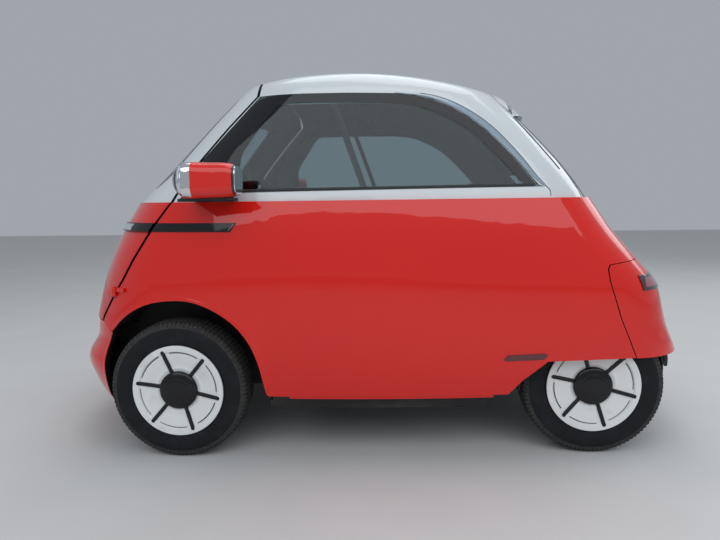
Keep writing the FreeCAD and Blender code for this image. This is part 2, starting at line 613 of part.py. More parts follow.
bar_outline = bar_outline.fuse(Part.makeCylinder(bar_width / 2, 200, Vector(bar_reach - bar_width / 2, 0, 0),
                                                 Vector(0, 1, 0)))
bar = bar.common(bar_outline)
for end, axle_x, track in (("front", front_x, size("front_track")), ("rear", rear_x, size("rear_track"))):
    bars = []
    for number in range(6):
        turned_bar = bar.copy()
        turned_bar.rotate(Vector(0, 0, 0), Vector(0, 1, 0), BAR_ANGLES[end] + 60 * number)
        bars.append(turned_bar)
    cap = dome.fuse(bars).removeSplitter()
    cap.translate(Vector(axle_x, track / 2, hub_z))
    keep(f"cap_{end}_left", mirrored(cap))
    keep(f"cap_{end}_right", cap)

# Steering knuckles: an upright bored for two kingpins, with its stub axle
for side, sign, turn in (("left", "-", 90), ("right", "", -90)):
    kingpin_y = f"{sign}Sizes.kingpin_track / 2"
    foot = "Sizes.tyre_radius - Sizes.knuckle_height / 2"
    upright = cylinder(f"upright_{side}", "Sizes.knuckle_radius", "Sizes.knuckle_height", (FRONT, kingpin_y, foot))
    reach = "(Sizes.front_track - Sizes.kingpin_track) / 2 + 48"
    stub = cylinder(f"stub_{side}", "Sizes.stub_radius", reach, (FRONT, kingpin_y, "Sizes.tyre_radius"), ("x", turn))
    collar = cylinder(f"collar_{side}", "Sizes.stub_radius + 14", "(Sizes.front_track - Sizes.kingpin_track) / 2 - 12",
                      (FRONT, kingpin_y, "Sizes.tyre_radius"), ("x", turn))
    bore = cylinder(f"kingpin_bore_{side}", "Sizes.kingpin_radius + Sizes.running_gap", "Sizes.knuckle_height",
                    (FRONT, kingpin_y, foot))
    knuckle = joined(f"knuckle_blank_{side}", [upright, stub, collar])
    finished(f"knuckle_{side}", cut(f"knuckle_{side}", knuckle, bore))

# Front suspension: cross beam, wishbones and the kingpins that they end in
low_eye = "Sizes.tyre_radius - Sizes.knuckle_height / 2 - 14"
high_eye = "Sizes.tyre_radius + Sizes.knuckle_height / 2 + 2"
suspension = [box("cross_beam", ("120", "2 * 330", f"Sizes.floor_height - 0.3 - ({low_eye})"), ("-Sizes.front_axle - 60", "-330", low_eye))]
for side, sign, way in (("left", "-", -1), ("right", "", 1)):
    kingpin_y = f"{sign}Sizes.kingpin_track / 2"
    span = "Sizes.kingpin_track / 2 - 300 + 10"
    start = "300" if way > 0 else "-Sizes.kingpin_track / 2 - 10"
    suspension.append(box(f"low_arm_{side}", ("40", span, "12"), ("-Sizes.front_axle - 20", start, low_eye)))
    high_start = "366" if way > 0 else "-Sizes.kingpin_track / 2 - 10"
    high_span = "Sizes.kingpin_track / 2 - 366 + 10"
    suspension.append(box(f"high_arm_{side}", ("40", high_span, "12"), ("-Sizes.front_axle - 20", high_start, high_eye)))
    suspension.append(cylinder(f"low_pin_{side}", "Sizes.kingpin_radius", "54", (FRONT, kingpin_y, low_eye)))
    suspension.append(cylinder(f"high_pin_{side}", "Sizes.kingpin_radius", "54",
                               (FRONT, kingpin_y, high_eye + " - 42")))
    suspension.append(box(f"arm_foot_{side}", ("90", "12", "60"),
                          ("-Sizes.front_axle - 45", "365.3" if way > 0 else "-377.3", high_eye + " - 24")))
finished("front_suspension", joined("front_suspension", suspension))

# Rear swing arm with its stub axles, and the drive block
rear_parts = [box("rear_beam", ("70", "Sizes.rear_track - 190", "70"),
                  (REAR + " - 35", "-(Sizes.rear_track - 190) / 2", "Sizes.tyre_radius - 35"))]
for side, sign, turn in (("left", "-", 90), ("right", "", -90)):
    rear_parts.append(cylinder(f"rear_stub_{side}", "Sizes.stub_radius", "142",
                               (REAR, f"{sign}(Sizes.rear_track / 2 - 96)", "Sizes.tyre_radius"), ("x", turn)))
    rear_parts.append(box(f"trailing_arm_{side}", (REAR + " - 30 - 441.3", "50", "46"),
                          ("441.3", "330" if sign == "" else "-380", "Sizes.tyre_radius - 23")))
finished("rear_swing_arm", joined("rear_swing_arm", rear_parts))
drive = box("drive_block", ("220", "320", "230"), (REAR + " + 35.3", "-160", "Sizes.tyre_radius - 90"))
finished("drive_block", drive)

# Battery block under the bench, and the bench
battery = box("battery_block", ("700", "900", "Sizes.battery_depth"),
              ("-319", "-450", "Sizes.floor_height + Sizes.floor_plate"))
finished("battery_block", battery)
cushion = box("cushion_blank", ("416", "Sizes.bench_width", "Sizes.cushion_depth"),
              ("-385", "-Sizes.bench_width / 2", "Sizes.bench_top - Sizes.cushion_depth"))
soft = doc.addObject("Part::Fillet", "seat_cushion")
soft.Base = cushion
doc.recompute()
soft.Edges = [(number + 1, 30.0, 30.0) for number in range(12)]
finished("seat_cushion", soft)
bench = box("bench_blank", ("350", "Sizes.bench_width - 80", "Sizes.bench_top - Sizes.cushion_depth - Sizes.floor_height"
            " - Sizes.floor_plate - Sizes.battery_depth"),
            ("-350", "-(Sizes.bench_width - 80) / 2", "Sizes.floor_height + Sizes.floor_plate + Sizes.battery_depth"))
finished("bench_base", bench)
back = box("back_blank", ("Sizes.back_depth", "Sizes.bench_width", "Sizes.back_top - Sizes.bench_top + 100"),
           ("27.8", "-Sizes.bench_width / 2", "Sizes.bench_top - 90"), ("y", 7))
soft = doc.addObject("Part::Fillet", "seat_back")
soft.Base = back
doc.recompute()
soft.Edges = [(number + 1, 30.0, 30.0) for number in range(12)]
finished("seat_back", soft)

# Steering column and wheel; the wheel leans back by the column's angle
column_angle = 22
wheel_centre = Vector(-429, size("driver_y"), 933)
lean = math.radians(column_angle)
forward = Vector(-math.cos(lean), 0, -math.sin(lean))
column_foot = wheel_centre + forward * 620
column = Part.makeCylinder(size("column_radius"), 579.5, column_foot, forward * -1)
bracket = block(-1030, -960, size("driver_y") - 40, size("driver_y") + 40, size("floor_height") + size("floor_plate"), 720)
keep("steering_column", column.fuse(bracket).removeSplitter())
rim = Part.makeTorus(size("wheel_rim_radius"), size("wheel_rim_tube"), wheel_centre, forward)
boss = Part.makeCylinder(48, 50, wheel_centre + forward * 40, forward * -1)
spokes = []
for degrees in (90, 210, 330):
    spoke = Part.makeBox(size("wheel_rim_radius"), 30, 14, Vector(0, -15, -7))
    spoke.rotate(Vector(0, 0, 0), Vector(0, 0, 1), degrees)
    spoke.rotate(Vector(0, 0, 0), Vector(0, 1, 0), -90 + column_angle)
    spoke.translate(wheel_centre + forward * 6)
    spokes.append(spoke)
keep("steering_wheel", rim.fuse([boss] + spokes).removeSplitter())

# Lamp and mirror pods on the shoulders, each on its black foot
POD_SECTIONS = ((-601, 1.0, 1.0), (-549, 1.0, 1.0), (-489, 0.98, 0.97), (-439, 0.94, 0.91), (-425, 0.86, 0.84))
pod_z = 1051
pod_w, pod_h = size("pod_width"), size("pod_height")


def pod_ring(x, wide, high, radius):
    half, tall = pod_w * wide / 2, pod_h * high / 2
    corners = [Vector(x, side * half, up * tall) for side, up in ((-1, -1), (1, -1), (1, 1), (-1, 1))]
    ring_wire = Part.makePolygon(corners + corners[:1])
    return ring_wire.makeOffset2D(-radius).makeOffset2D(radius)


pod = Part.makeLoft([pod_ring(x, wide, high, 36) for x, wide, high in POD_SECTIONS], True, False)
pod.translate(Vector(0, -size("pod_y"), pod_z))
lens = Part.makeSphere(1.0)
stretch = FreeCAD.Matrix()
stretch.A11, stretch.A22, stretch.A33 = 44, 0.5 * pod_w - 3, 0.5 * pod_h - 2
lens = lens.transformGeometry(stretch).common(block(-60, 0, -100, 100, -100, 100))
lens.translate(Vector(-601.3, -size("pod_y"), pod_z))
foot = block(-629, -459, -size("pod_y") - 20, -600, belt + 4, pod_z - pod_h / 2 - seat)
lowered = pod.copy()
lowered.translate(Vector(0, 0, -seat))
foot = foot.cut([upper_outer, lowered])
keep("pod_shells", Part.makeCompound([pod, mirrored(pod)]))
keep("pod_lenses", Part.makeCompound([lens, mirrored(lens)]))
mirror = Part.makeLoft([pod_ring(x, 0.8, 0.78, 30) for x in (-424.7, -421.5)], True, False)
mirror.translate(Vector(0, -size("pod_y"), pod_z))
keep("pod_mirrors", Part.makeCompound([mirror, mirrored(mirror)]))
keep("pod_feet", Part.makeCompound([foot, mirrored(foot)]))

# Front door hinge: a fixed and a moving leaf on one upright pin, both lying on the outer skin
pin, leaf_long, leaf_inset, leaf_gap = size("hinge_pin"), 52, 1, 0.5
leaf_skin = strip_outer.cut(lower_outer)
fixed = leaf_skin.common(block(hinge.x, hinge.x + leaf_long, -FAR, hinge.y,
                               hinge.z + leaf_inset, hinge.z + knuckle_tall - leaf_inset))
pin_foot = hinge - Vector(0, 0, knuckle_tall + 2)
fixed = fixed.fuse([Part.makeCylinder(hinge_round, knuckle_tall, hinge), Part.makeCylinder(pin, 40, pin_foot)])
moving = leaf_skin.common(block(hinge.x - leaf_long, hinge.x, -FAR, 0,
                                hinge.z - knuckle_tall + leaf_inset, hinge.z - leaf_inset))
moving_foot = hinge - Vector(0, 0, knuckle_tall - leaf_gap)
moving = moving.fuse(Part.makeCylinder(hinge_round, knuckle_tall - 2 * leaf_gap, moving_foot))
moving = moving.cut(Part.makeCylinder(pin + size("running_gap"), 60, hinge - Vector(0, 0, 40)))
keep("hinge_fixed_leaf", fixed.removeSplitter())
keep("hinge_door_leaf", moving.removeSplitter())

# Tailgate hinges: knuckles on a cross axis ahead of the spoiler, each with a leaf down to its panel
axis = Vector(tailgate_front, 130, size("tail_hinge_z"))
knuckle_wide, knuckle_high, tail_pin = 18, 7, 3.5
FIXED_LEAF = ((-44, 14), (0, 6), (0, -44), (-44, -44))
MOVING_LEAF = ((0, 6), (8, 6), (40, -26), (40, -60), (0, -60))


def tail_leaf(points, start, panel):
    """A leaf drawn from the side round the axis, cut to lie on its panel, with its knuckle."""
    leaf = side_prism([(axis.x + x, axis.z + z) for x, z in points], start, start + knuckle_wide)
    knuckle_place = Vector(axis.x, start, axis.z)
    return leaf.cut(panel).fuse(Part.makeCylinder(knuckle_high, knuckle_wide, knuckle_place, Vector(0, 1, 0)))


def tail_bore(radius, long):
    return Part.makeCylinder(radius, long, axis, Vector(0, 1, 0))


fixed = tail_leaf(FIXED_LEAF, axis.y, upper_outer).fuse(tail_bore(tail_pin, 2 * knuckle_wide + 1)).removeSplitter()
moving = tail_leaf(MOVING_LEAF, axis.y + knuckle_wide + 1, spoiler_outer)
moving = moving.cut(tail_bore(tail_pin + size("running_gap"), 3 * knuckle_wide)).removeSplitter()
keep("tail_hinge_fixed", Part.makeCompound([fixed, mirrored(fixed)]))
keep("tail_hinge_leaf", Part.makeCompound([moving, mirrored(moving)]))

doc.recompute()
for item in doc.Objects:
    bad = [state for state in item.State if state in ("Invalid", "Error")]
    if bad:
        raise RuntimeError(f"{item.Label} failed: {item.State}")
for piece in pieces:
    if piece.Shape.isNull() or not piece.Shape.isValid():
        raise RuntimeError(f"{piece.Label} has no sound shape")
os.makedirs("parts", exist_ok=True)
for piece in pieces:
    piece.Shape.exportStep(f"parts/{piece.Label}.step")
    box_now = piece.Shape.BoundBox
    print(f"{piece.Label}: {len(piece.Shape.Solids)} solids, {piece.Shape.Volume / 1e6:.2f} litres",
          [round(v) for v in (box_now.XMin, box_now.XMax, box_now.YMin, box_now.YMax, box_now.ZMin, box_now.ZMax)])
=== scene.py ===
# A two-seat bubble car: a red body under a white roof, whose whole front is one side-hinged door.
# The sections follow the car as it is put together: running gear, wheels, body shell, doors, glass,
# lamps, trim and cabin. Metres, front towards -X, the car's left side towards -Y.
import math
import bpy
import numpy as np
from mathutils import Matrix, Vector


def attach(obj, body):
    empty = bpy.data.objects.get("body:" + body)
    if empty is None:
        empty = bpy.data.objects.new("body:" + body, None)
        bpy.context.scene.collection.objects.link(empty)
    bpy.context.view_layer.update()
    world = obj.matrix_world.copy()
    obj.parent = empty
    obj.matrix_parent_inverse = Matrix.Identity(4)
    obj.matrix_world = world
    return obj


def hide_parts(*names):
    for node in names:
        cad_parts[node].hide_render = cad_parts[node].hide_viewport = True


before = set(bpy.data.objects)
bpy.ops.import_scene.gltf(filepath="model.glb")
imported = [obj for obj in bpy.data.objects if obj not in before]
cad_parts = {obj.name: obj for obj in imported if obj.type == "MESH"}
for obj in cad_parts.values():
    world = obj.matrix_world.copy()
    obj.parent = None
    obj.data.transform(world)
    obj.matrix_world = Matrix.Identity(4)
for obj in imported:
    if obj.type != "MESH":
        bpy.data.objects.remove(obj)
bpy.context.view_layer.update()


# Running gear: a welded floor tub, swing arm, wishbones and knuckles, all under black satin paint
# that road dust has greyed. The motor unit and the battery case are cast and pressed aluminium.
class Link:
    """A value in a finish. Python's operators on links add the Math nodes."""

    def __init__(self, finish, socket):
        self.finish = finish
        self.socket = socket

    def maths(self, operation, other, swapped=False):
        pair = (other, self) if swapped else (self, other)
        return self.finish.node("Math", {"operation": operation}, pair)

    def __add__(self, other):
        return self.maths("ADD", other)

    def __sub__(self, other):
        return self.maths("SUBTRACT", other)

    def __rsub__(self, other):
        return self.maths("SUBTRACT", other, swapped=True)

    def __mul__(self, other):
        return self.maths("MULTIPLY", other)

    def __gt__(self, other):
        return self.maths("GREATER_THAN", other)

    def __lt__(self, other):
        return self.maths("LESS_THAN", other)

    __radd__ = __add__
    __rmul__ = __mul__


class Finish:
    """A procedural material round one Principled shader, whose plain sockets are given by name."""

    def __init__(self, name, **sockets):
        self.material = bpy.data.materials.new(name)
        self.material.use_nodes = True
        self.tree = self.material.node_tree
        self.shader = self.tree.nodes["Principled BSDF"]
        self.feed(**sockets)
        self.place = self.node("TexCoord", output="Object")

    def join(self, socket, value):
        """Links a link to a socket, and sets any other value on it."""
        if isinstance(value, Link):
            self.tree.links.new(value.socket, socket)
        elif isinstance(value, tuple) and len(value) == 3 and socket.type == "RGBA":
            socket.default_value = (*value, 1)
        else:
            socket.default_value = value

    def feed(self, **sockets):
        """Gives the shader's sockets their values or links, with _ for a space in a socket's name."""
        for name, value in sockets.items():
            self.join(self.shader.inputs[name.replace("_", " ")], value)

    def node(self, kind, settings=None, sockets=(), output=0):
        """Adds a node, applies its settings, then fills its sockets, and gives back one of its outputs."""
        made = self.tree.nodes.new("ShaderNode" + kind)
        for name, value in (settings or {}).items():
            setattr(made, name, value)
        for key, value in sockets.items() if isinstance(sockets, dict) else enumerate(sockets):
            self.join(made.inputs[key], value)
        return Link(self, made.outputs[output])

    def noise(self, scale, detail=2.0):
        """Cloudy value from 0 to 1; scale is in features per metre."""
        return self.node("TexNoise", None, {"Vector": self.place, "Scale": scale, "Detail": detail}, "Fac")

    def axis(self, letter):
        """The place along X, Y or Z, in metres."""
        return self.node("SeparateXYZ", None, (self.place,), letter.upper())

    def mix(self, share, first, second):
        """Colour that goes from the first to the second as the share goes from 0 to 1."""
        return self.node("Mix", {"data_type": "RGBA"}, {0: share, 6: first, 7: second}, 2)

    def ease(self, value, low, high):
        """Value that runs smoothly from 0 to 1 while the given one runs from low to high."""
        return self.node("MapRange", {"interpolation_type": "SMOOTHSTEP"}, (value, low, high))

    def cabin_side(self):
        """1 on faces that look at the cabin's middle, 0 elsewhere.

        They are the ones whose normal, times the unit vector away from that middle, is under -0.3."""
        cabin_middle = (0, 0, 0.8)
        away = self.node("VectorMath", {"operation": "SUBTRACT"}, (self.place, cabin_middle))
        way = self.node("VectorMath", {"operation": "NORMALIZE"}, (away,))
        normal = self.node("TexCoord", output="Normal")
        return self.node("VectorMath", {"operation": "DOT_PRODUCT"}, (normal, way), "Value") < -0.3

    def rough(self, height, distance, strength):
        """Surface relief: the height from 0 to 1 stands for the distance in metres."""
        bump = self.node("Bump", None, {"Strength": strength, "Distance": distance, "Height": height})
        self.feed(Normal=bump)


def dress(finish, *names):
    """Gives named pieces of the car their finish."""
    for name in names:
        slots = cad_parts[name].data.materials
        slots.clear()
        slots.append(finish.material)


satin_black = Finish("satin_black_chassis_paint", Specular_IOR_Level=0.4)
road_dust = satin_black.ease(satin_black.noise(9, 5), 0.45, 0.75)
satin_black.feed(Base_Color=satin_black.mix(road_dust, (0.010, 0.010, 0.011), (0.050, 0.046, 0.040)),
                 Roughness=0.45 + 0.35 * road_dust)
satin_black.rough(satin_black.noise(900, 2), 0.0002, 0.5)
dress(satin_black, "floor_tub", "front_suspension", "rear_swing_arm", "knuckle_left", "knuckle_right",
      "jack_pads")

cast_metal = Finish("cast_aluminium", Metallic=0.9)
casting = cast_metal.noise(60, 4)
cast_metal.feed(Base_Color=cast_metal.mix(casting, (0.07, 0.07, 0.07), (0.14, 0.14, 0.135)),
                Roughness=0.42 + 0.2 * casting)
cast_metal.rough(cast_metal.noise(500, 3), 0.0004, 0.6)
dress(cast_metal, "drive_block", "battery_block")

# Tyres: small road tyres of dull black rubber on pressed steel rims. The dusty tread has four grooves
# round it and a ring of shoulder blocks, and the sidewall is plain with two fine moulded lines.
rim_paint = Finish("black_wheel_paint", Roughness=0.5)
rim_paint.feed(Base_Color=rim_paint.mix(rim_paint.noise(25, 4), (0.012, 0.012, 0.013), (0.028, 0.027, 0.026)))
rubber = Finish("tyre_rubber", Specular_IOR_Level=0.25)
scuffs = rubber.ease(rubber.noise(18, 6), 0.42, 0.78)
rubber.feed(Base_Color=rubber.mix(scuffs, (0.007, 0.008, 0.010), (0.020, 0.021, 0.024)),
            Roughness=0.62 + 0.25 * scuffs)
rubber.rough(rubber.noise(1400, 2), 0.00025, 0.5)
tread_dust = Finish("dusty_tread_rubber", Roughness=0.9, Specular_IOR_Level=0.2)
dust = tread_dust.noise(70, 4)
tread_dust.feed(Base_Color=tread_dust.mix(dust, (0.016, 0.016, 0.017), (0.075, 0.073, 0.070)))


def skin(name, grid, finish, body="body", wrap_rows=False, wrap_columns=False, flip=False):
    """A smooth mesh from a grid of points: every cell between four neighbours becomes one face.

    Axes before the last three hold further grids of the same mesh, and points that meet are welded."""
    rows, columns = grid.shape[-3:-1]
    numbers = np.arange(rows * columns).reshape(rows, columns)
    if wrap_rows:
        numbers = np.vstack([numbers, numbers[:1]])
    if wrap_columns:
        numbers = np.hstack([numbers, numbers[:, :1]])
    cells = np.stack([numbers[:-1, :-1], numbers[1:, :-1], numbers[1:, 1:], numbers[:-1, 1:]], -1)
    sheets = grid.size // (rows * columns * 3)
    faces = (cells.reshape(-1, 4) + np.arange(sheets)[:, None, None] * rows * columns).reshape(-1, 4)
    if flip:
        faces = faces[:, ::-1]
    mesh = bpy.data.meshes.new(name)
    mesh.from_pydata(grid.reshape(-1, 3).tolist(), [], faces.tolist())
    mesh.shade_smooth()
    mesh.set_sharp_from_angle(angle=math.radians(40))
    mesh.materials.append(finish.material)
    piece = bpy.data.objects.new(name, mesh)
    bpy.context.scene.collection.objects.link(piece)
    piece.modifiers.new("weld", "WELD").merge_threshold = 0.00001
    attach(piece, body)
    return piece


def spun(radius, offset, angle, centre, side):
    """Points of a turned form: radius and offset along the axle at an angle, about an axle along Y."""
    along, across, height = centre
    places = (along + radius * np.sin(angle), across + side * offset, height + radius * np.cos(angle))
    return np.stack(np.broadcast_arrays(*places), -1)


# Each axle's place along the car, and how far out the middles of its wheels are
AXLES = {"front": (-0.7225, 0.593), "rear": (0.8525, 0.508)}
hub_height = tyre_radius = 0.266
CORNERS = [(f"{end}_{name}", end, side, (along, side * out, hub_height))
           for end, (along, out) in AXLES.items() for name, side in (("left", -1), ("right", 1))]
# Every block takes six places round the tyre, and the second and third lie in the cut between two blocks
blocks = 97
place_in_block = np.array([0, 0.04, 0.26, 0.30, 0.53, 0.77])
turn = ((np.arange(blocks)[:, None] + place_in_block) / blocks * math.tau).ravel()
between_blocks = np.tile([0, 1, 1, 0, 0, 0], blocks)[:, None]
# The section runs from the inner bead over the tread to the outer bead and back under the rim. The
# crown falls with the fourth power of the way out, and the walls bulge with a sine and bear two lines.
crown_half, crown_fall = 0.060, 0.0045
wall_top, bead_radius, bulge = tyre_radius - crown_fall, 0.167, 0.0124
MOULDED_LINES = (0.238, 0.196)
crown = np.linspace(-crown_half, crown_half, 49)
crown_radius = tyre_radius - crown_fall * (np.abs(crown) / crown_half) ** 4
down = np.linspace(0.05, 1, 18)
wall_radius = wall_top - (wall_top - bead_radius) * down
wall_offset = crown_half + bulge * np.sin(math.pi * down) ** 0.55
for line in MOULDED_LINES:
    wall_offset = wall_offset + 0.0007 * np.exp(-((wall_radius - line) / 0.0016) ** 2)
section_offset = np.concatenate([-wall_offset[::-1], crown, wall_offset])
section_radius = np.concatenate([wall_radius[::-1], crown_radius, wall_radius])
# Grooves: the radius falls 6 mm in four bands round the tyre, and between two blocks by 3 mm on the
# ribs and 4.2 mm on the shoulders. On the wall the cut goes in along the axle instead, 60% as deep.
GROOVES = (-0.034, -0.012, 0.012, 0.034)
groove_half, groove_depth, rib_depth, shoulder_depth, rib_edge = 0.0032, 0.006, 0.003, 0.0042, 0.040
# Radii above which the grooves, the tread, the shoulder blocks and the dust begin
groove_foot, tread_foot, block_foot, dust_foot = 0.262, 0.2612, 0.240, 0.2455
block_fade, edge_fade, wall_share = 0.012, 0.003, 0.6
from_middle = np.abs(section_offset)
groove = np.zeros_like(section_radius)
for middle in GROOVES:
    in_band = np.abs(section_offset - middle) < groove_half
    groove = np.maximum(groove, in_band * (section_radius > groove_foot))
above = np.clip((section_radius - block_foot) / block_fade, 0, 1)
shoulder = above * np.clip((from_middle - rib_edge) / edge_fade, 0, 1)
block_cut = np.maximum(shoulder * shoulder_depth, (from_middle < rib_edge) * rib_depth)
tread_depth = np.maximum(groove * groove_depth, between_blocks * block_cut)
on_tread = section_radius > tread_foot
tyre_r = section_radius - tread_depth * on_tread
tyre_w = section_offset - np.sign(section_offset) * tread_depth * wall_share * ~on_tread
dusty = section_radius > dust_foot
for corner, end, side, centre in CORNERS:
    tyre = skin(f"road_tyre_{corner}", spun(tyre_r, tyre_w, turn[:, None], centre, side), rubber,
                f"wheel_{corner}", wrap_rows=True, wrap_columns=True, flip=side < 0)
    tyre.data.materials.append(tread_dust.material)
    tyre.data.polygons.foreach_set("material_index", np.tile(dusty, len(turn)).astype(np.int32))
    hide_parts(f"tyre_{corner}")
dress(rim_paint, *[f"rim_{corner}" for corner, end, side, centre in CORNERS])

# Wheel covers: dished white plastic discs with a flat outer ring, six narrow slots between the bars
# and a soft raised ring round the hub. The gloss black cap and its six bars are clipped on top.
cover_white = Finish("white_cover_plastic", Roughness=0.38, Coat_Weight=0.3, Coat_Roughness=0.2)
brake_dust = cover_white.ease(cover_white.noise(14, 5), 0.5, 0.8)
cover_white.feed(Base_Color=cover_white.mix(brake_dust, (0.80, 0.81, 0.80), (0.68, 0.68, 0.66)))
slot_shadow = Finish("cover_slot_shadow", Roughness=0.7)
slot_shadow.feed(Base_Color=slot_shadow.mix(slot_shadow.noise(60), (0.008, 0.008, 0.009), (0.02, 0.02, 0.02)))
# Degrees from upright to the first bar, as each wheel has stopped
BAR_TURN = {"front": 40.5, "rear": 44}
# The cover's section: radii, closer together where it bends, and how far out along the axle each is.
# A soft ring is raised round the hub in a bell curve, and the outer edge curls back.
ring = np.array([0.060, 0.070, 0.0765, 0.0785, 0.081, 0.085, 0.0895, 0.092, 0.096, 0.104, 0.114, 0.124, 0.134,
                 0.1425, 0.1446, 0.1452, 0.1488, 0.1494, 0.1515, 0.1535, 0.160, 0.168, 0.1725, 0.1748, 0.1758,
                 0.1752, 0.172])
DISH = ((0.060, 0.0578), (0.073, 0.0585), (0.1425, 0.0702), (0.1494, 0.0702), (0.1535, 0.0745),
        (0.1725, 0.0758), (0.1758, 0.0722))
dish = np.interp(ring, *np.array(DISH).T) + 0.0026 * np.exp(-((ring - 0.0855) / 0.0052) ** 2)
dish[-4:] = (0.0752, 0.0730, 0.0690, 0.0660)
slot_depth, slot_from_bar = 0.0035, math.radians(8.5)
in_slot = (ring > 0.1449) & (ring < 0.1491)
around = np.arange(432) / 432 * math.tau
for corner, end, side, centre in CORNERS:
    from_bar = np.abs((around - math.radians(BAR_TURN[end]) + math.pi / 6) % (math.pi / 3) - math.pi / 6)
    slotted = np.outer(from_bar > slot_from_bar, in_slot)
    dished = spun(ring, dish - slot_depth * slotted, around[:, None], centre, side)
    disc = skin(f"wheel_cover_{corner}", dished, cover_white, f"wheel_{corner}",
                wrap_rows=True, flip=side > 0)
    disc.data.materials.append(slot_shadow.material)
    dark = slotted[:, :-1] & slotted[:, 1:] & np.roll(slotted, -1, 0)[:, :-1]
    disc.data.polygons.foreach_set("material_index", dark.ravel().astype(np.int32))
    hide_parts(f"cover_{corner}")
cap_gloss = Finish("black_cap_plastic", Roughness=0.14, Specular_IOR_Level=0.3, Coat_Weight=0.15,
                   Coat_Roughness=0.04)
cap_gloss.feed(Base_Color=cap_gloss.mix(cap_gloss.noise(20, 3), (0.005, 0.005, 0.006), (0.010, 0.010, 0.011)))
# The cap's section as radii and places along the axle: a wall, a low dome and a fine groove round it
DOME = ((0.073, 0.0588), (0.073, 0.0665), (0.0722, 0.0690), (0.070, 0.0710), (0.066, 0.0730), (0.058, 0.0755),
        (0.050, 0.0774), (0.046, 0.0781), (0.0445, 0.0776), (0.043, 0.0782), (0.036, 0.0797), (0.02, 0.0810),
        (0, 0.0814))
dome_radius, dome_offset = np.array(DOME).T
# Bar: half an oval across, with a round outer end, in a grid of places along it and angles over it.
# Its foot follows the cover, up to a millimetre inside it.
BAR_FOOT = ((0.060, 0.0575), (0.073, 0.0580), (0.1425, 0.0697), (0.1494, 0.0697), (0.1535, 0.0735),
            (0.17, 0.0750))
bar_start, bar_end, bar_half = 0.060, 0.1555, 0.0075
end_curve = bar_end + bar_half * np.sin(np.linspace(0.1, math.pi / 2, 9))
bar_radius = np.concatenate([np.linspace(bar_start, bar_end, 20), end_curve])[:, None]
round_end = np.sqrt(np.clip(1 - (np.clip(bar_radius - bar_end, 0, 1) / bar_half) ** 2, 0, 1))
bar_base = np.interp(bar_radius, *np.array(BAR_FOOT).T)
bar_rise = 0.0085 - 0.0035 * (bar_radius - bar_start) / 0.1
over = np.linspace(0, math.pi, 13)
bar_across = bar_half * round_end * np.sign(np.cos(over)) * np.abs(np.cos(over)) ** 0.6
bar_out = bar_base + bar_rise * round_end ** 0.5 * np.sin(over) ** 0.5
bar_along = np.broadcast_to(bar_radius, bar_across.shape)
bar_reach, bar_lean = np.hypot(bar_along, bar_across), np.arctan2(bar_across, bar_along)
for corner, end, side, centre in CORNERS:
    dome = skin(f"hub_cap_{corner}", spun(dome_radius, dome_offset, around[:, None], centre, side), cap_gloss,
                f"wheel_{corner}", wrap_rows=True, flip=side < 0)
    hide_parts(f"cap_{corner}")
    bar_angle = np.radians(BAR_TURN[end] + 60 * np.arange(6))[:, None, None]
    bars = spun(bar_reach, bar_out, bar_angle + bar_lean, centre, side)
    skin(f"hub_bars_{corner}", bars, cap_gloss, f"wheel_{corner}", flip=side > 0)

# Body shell: double-skinned walls with solid red paint under a deep clear coat. The sides that look
# into the cabin are lined with black plastic, and the front door's hinge leaves are painted all round.
RED = ((0.70, 0.009, 0.004), (0.76, 0.013, 0.006))
red_paint = Finish("red_clear_coated_paint", Specular_IOR_Level=0.12, Coat_Roughness=0.02)
lined = red_paint.cabin_side()
red = red_paint.mix(red_paint.noise(2.2), *RED)
red_paint.feed(Base_Color=red_paint.mix(lined, red, (0.020, 0.020, 0.021)), Coat_Weight=1 - lined,
               Roughness=0.32 + 0.05 * red_paint.noise(40, 3) + 0.3 * lined)
red_paint.rough(red_paint.noise(330, 1), 0.00012, 0.12)
dress(red_paint, "side_panel_left", "side_panel_right", "door_panel", "tailgate_panel", "rear_fascia",
      "front_bumper", "rocker_strips")
red_trim = Finish("red_trim_paint", Specular_IOR_Level=0.12, Coat_Weight=1.0, Coat_Roughness=0.02,
                  Roughness=0.34)
red_trim.feed(Base_Color=red_trim.mix(red_trim.noise(2.2), *RED))
dress(red_trim, "hinge_fixed_leaf", "hinge_door_leaf")

# Roof: the upper half is white under the same clear coat, with a dark headlining inside. The spoiler
# and the tailgate's hinges are painted white all round.
# The white is greyed a little and tinted blue: part of that is the paint's own tone, and part is painted
# shade and painted sky reflection
SKY_TINTED_WHITE = ((0.61, 0.65, 0.67), (0.67, 0.70, 0.71))
white_paint = Finish("white_clear_coated_paint", Specular_IOR_Level=0.5, Coat_Roughness=0.03)
lined = white_paint.cabin_side()
white = white_paint.mix(white_paint.noise(2.2), *SKY_TINTED_WHITE)
white_paint.feed(Base_Color=white_paint.mix(lined, white, (0.026, 0.027, 0.029)), Coat_Weight=1 - lined,
                 Roughness=0.34 + 0.05 * white_paint.noise(40, 3) + 0.4 * lined)
white_paint.rough(white_paint.noise(330, 1), 0.00012, 0.12)
dress(white_paint, "roof_shell", "door_frame")
white_trim = Finish("white_trim_paint", Specular_IOR_Level=0.5, Coat_Weight=1.0, Coat_Roughness=0.03,
                    Roughness=0.36)
# The same white, with its painted shade and painted sky tint
white_trim.feed(Base_Color=white_trim.mix(white_trim.noise(2.2), *SKY_TINTED_WHITE))
dress(white_trim, "spoiler", "tail_hinge_fixed", "tail_hinge_leaf")


